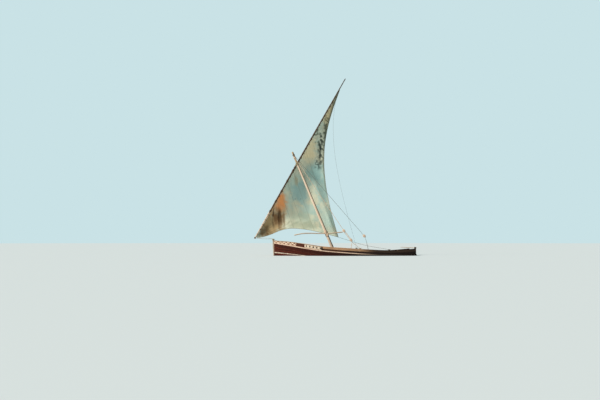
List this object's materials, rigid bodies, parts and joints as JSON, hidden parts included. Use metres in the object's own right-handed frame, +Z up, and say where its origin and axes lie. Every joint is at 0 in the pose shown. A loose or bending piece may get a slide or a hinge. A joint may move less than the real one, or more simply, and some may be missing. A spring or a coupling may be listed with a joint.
{
  "type": "lateen-rigged dhow sailing boat",
  "caption": "Open wooden dhow with a plumb stem, raked mast, long two-piece yard, one lateen sail, and a tiller-steered rudder hung on the sternpost.",
  "frame": {"origin": "amidships on the centre line at the waterline the boat floats at", "axes": "+X aft, -X towards the bow, +Y starboard, +Z up"},
  "size_m": [12.7948, 2.8446, 14.5567],
  "materials": {
    "dark_wood": "oiled, weathered",
    "red_brown_wood": "oiled, weathered",
    "cream_paint": "old paint",
    "orange_wood": "worn, oiled",
    "pale_wood": "bare, weathered",
    "spar_wood": "bare, weathered",
    "grey_wood": "bare, weathered",
    "rope": "laid fibre",
    "canvas": "worn, stained cotton",
    "iron": "forged, rusty"
  },
  "bodies": {
    "hull": {"after_beam": "grey_wood", "beam_shelf_port": "grey_wood", "beam_shelf_starboard": "grey_wood", "bilge_planking_port": "red_brown_wood", "bilge_planking_starboard": "red_brown_wood", "bottom_boards_port": "grey_wood", "bottom_boards_starboard": "grey_wood", "bottom_planking_port": "dark_wood", "bottom_planking_starboard": "dark_wood", "bow_board_port": "cream_paint", "bow_board_starboard": "cream_paint", "fore_beam": "grey_wood", "foredeck": "orange_wood", "frame_1": "grey_wood", "frame_2": "grey_wood", "frame_3": "grey_wood", "frame_4": "grey_wood", "frame_5": "grey_wood", "frame_6": "grey_wood", "frame_7": "grey_wood", "frame_8": "grey_wood", "frame_9": "grey_wood", "gudgeon_1": "iron", "gudgeon_2": "iron", "halyard": "rope", "halyard_tackle": "rope", "keel": "dark_wood", "keelson": "grey_wood", "lower_halyard_block": "dark_wood", "main_beam": "grey_wood", "mast": "pale_wood", "mast_beam": "grey_wood", "mast_step": "dark_wood", "port_shroud": "rope", "rail_cap_port": "orange_wood", "rail_cap_starboard": "orange_wood", "ridge_pole": "pale_wood", "rubbing_band_port": "cream_paint", "rubbing_band_starboard": "cream_paint", "shroud_block": "dark_wood", "stem_post": "cream_paint", "stern_beam": "grey_wood", "stern_deck": "orange_wood", "stern_post": "dark_wood", "topside_planking_port": "red_brown_wood", "topside_planking_starboard": "red_brown_wood", "transom": "red_brown_wood", "upper_halyard_block": "dark_wood", "washboard_port": "red_brown_wood", "washboard_starboard": "red_brown_wood"},
    "yard": {"parrel": "rope", "sail": "canvas", "yard_lower_spar": "pale_wood", "yard_upper_spar": "spar_wood"},
    "rudder": {"pintle_1": "iron", "pintle_2": "iron", "rudder_blade": "dark_wood", "tiller": "pale_wood"}
  },
  "joints": [
    {"name": "rudder_turn", "type": "hinge", "parent": "hull", "child": "rudder", "pos_m": [5.395, 0, 0], "axis": [0, 0, 1], "range_deg": [-35, 35]},
    {"name": "yard_slew", "type": "hinge", "parent": "hull", "child": "yard", "pos_m": [-1.01, 0, 0.78], "axis": [-0.3869, 0, 0.9221], "range_deg": [-5, 45]}
  ]
}
